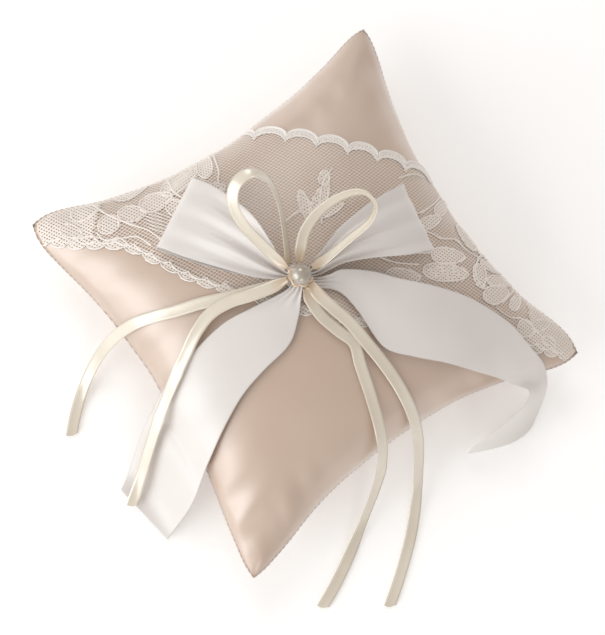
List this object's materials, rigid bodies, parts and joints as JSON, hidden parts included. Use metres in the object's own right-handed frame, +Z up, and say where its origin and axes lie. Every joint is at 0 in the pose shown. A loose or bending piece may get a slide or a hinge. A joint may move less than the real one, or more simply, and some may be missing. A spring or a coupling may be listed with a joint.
{
  "type": "ring bearer pillow",
  "caption": "Square satin cushion with a lace band, a wide satin bow, standing narrow ribbon loops, long loose ring ribbons and a pearl bead.",
  "frame": {"origin": "centre of the flat patch that the cushion rests on", "axes": "+X along the lace band to the right-hand corner, +Y to the far corner, +Z up out of the front cover"},
  "size_m": [0.2938, 0.3049, 0.1087],
  "materials": {
    "champagne_satin": "satin",
    "fibre_filling": "matte",
    "sewing_thread": "matte",
    "ivory_lace": "matte",
    "white_satin": "satin",
    "ivory_satin": "satin",
    "pearl": "pearlescent"
  },
  "bodies": {
    "cushion": {"front_cover": "champagne_satin", "back_cover": "champagne_satin", "fibre_filling": "fibre_filling", "seam_thread": "sewing_thread", "closing_thread": "sewing_thread", "lace_band": "ivory_lace", "bow_gather": "white_satin", "gather_thread": "sewing_thread", "ring_ribbon_knot": "ivory_satin", "bead_thread": "sewing_thread"},
    "pearl": {"pearl_bead": "pearl"},
    "left_loop": {"bow_left_loop": "white_satin"},
    "right_loop": {"bow_right_loop": "white_satin"},
    "left_tail": {"bow_left_tail": "white_satin"},
    "right_tail": {"bow_right_tail": "white_satin"},
    "narrow_left_loop": {"ring_ribbon_left_loop": "ivory_satin"},
    "narrow_right_loop": {"ring_ribbon_right_loop": "ivory_satin"},
    "outer_left_ribbon": {"ring_ribbon_outer_left": "ivory_satin"},
    "inner_left_ribbon": {"ring_ribbon_inner_left": "ivory_satin"},
    "inner_right_ribbon": {"ring_ribbon_inner_right": "ivory_satin"},
    "outer_right_ribbon": {"ring_ribbon_outer_right": "ivory_satin"}
  },
  "joints": [
    {"name": "pearl_spin", "type": "hinge", "parent": "cushion", "child": "pearl", "pos_m": [-0.01, -0.001, 0.0797], "axis": [1, 0, 0], "continuous": true},
    {"name": "bow_left_loop_lift", "type": "hinge", "parent": "cushion", "child": "left_loop", "pos_m": [-0.018, -0.001, 0.07], "axis": [0.3159, 0.9488, 0], "range_deg": [0, 8]},
    {"name": "bow_right_loop_lift", "type": "hinge", "parent": "cushion", "child": "right_loop", "pos_m": [-0.0033, 0.0043, 0.07], "axis": [0.6292, -0.7772, 0], "range_deg": [0, 8]},
    {"name": "bow_left_tail_lift", "type": "hinge", "parent": "cushion", "child": "left_tail", "pos_m": [-0.012, -0.0065, 0.0738], "axis": [-0.9294, 0.3691, 0], "range_deg": [0, 30]},
    {"name": "bow_right_tail_lift", "type": "hinge", "parent": "cushion", "child": "right_tail", "pos_m": [-0.00175, -0.00175, 0.07], "axis": [-0.148, -0.989, 0], "range_deg": [0, 28]},
    {"name": "narrow_left_loop_lean", "type": "hinge", "parent": "cushion", "child": "narrow_left_loop", "pos_m": [-0.0162, 0.0022, 0.0748], "axis": [0.6919, 0.722, 0], "range_deg": [-5, 12], "stiffness_Nm_per_rad": 0.02},
    {"name": "narrow_right_loop_lean", "type": "hinge", "parent": "cushion", "child": "narrow_right_loop", "pos_m": [-0.0085, 0.005, 0.075], "axis": [0.8827, -0.4699, 0], "range_deg": [-5, 12], "stiffness_Nm_per_rad": 0.02},
    {"name": "outer_left_ribbon_lift", "type": "hinge", "parent": "left_tail", "child": "outer_left_ribbon", "pos_m": [-0.0152, -0.0034, 0.0742], "axis": [-0.677, 0.736, 0], "range_deg": [0, 15]},
    {"name": "inner_left_ribbon_lift", "type": "hinge", "parent": "outer_left_ribbon", "child": "inner_left_ribbon", "pos_m": [-0.0152, -0.0034, 0.0745], "axis": [-0.9003, 0.4352, 0], "range_deg": [0, 15]},
    {"name": "inner_right_ribbon_lift", "type": "hinge", "parent": "cushion", "child": "inner_right_ribbon", "pos_m": [-0.0056, -0.0046, 0.0738], "axis": [-0.8865, -0.4627, 0], "range_deg": [0, 20]},
    {"name": "outer_right_ribbon_lift", "type": "hinge", "parent": "inner_right_ribbon", "child": "outer_right_ribbon", "pos_m": [-0.0044, -0.0032, 0.0742], "axis": [-0.7878, -0.6159, 0], "range_deg": [0, 20]}
  ]
}
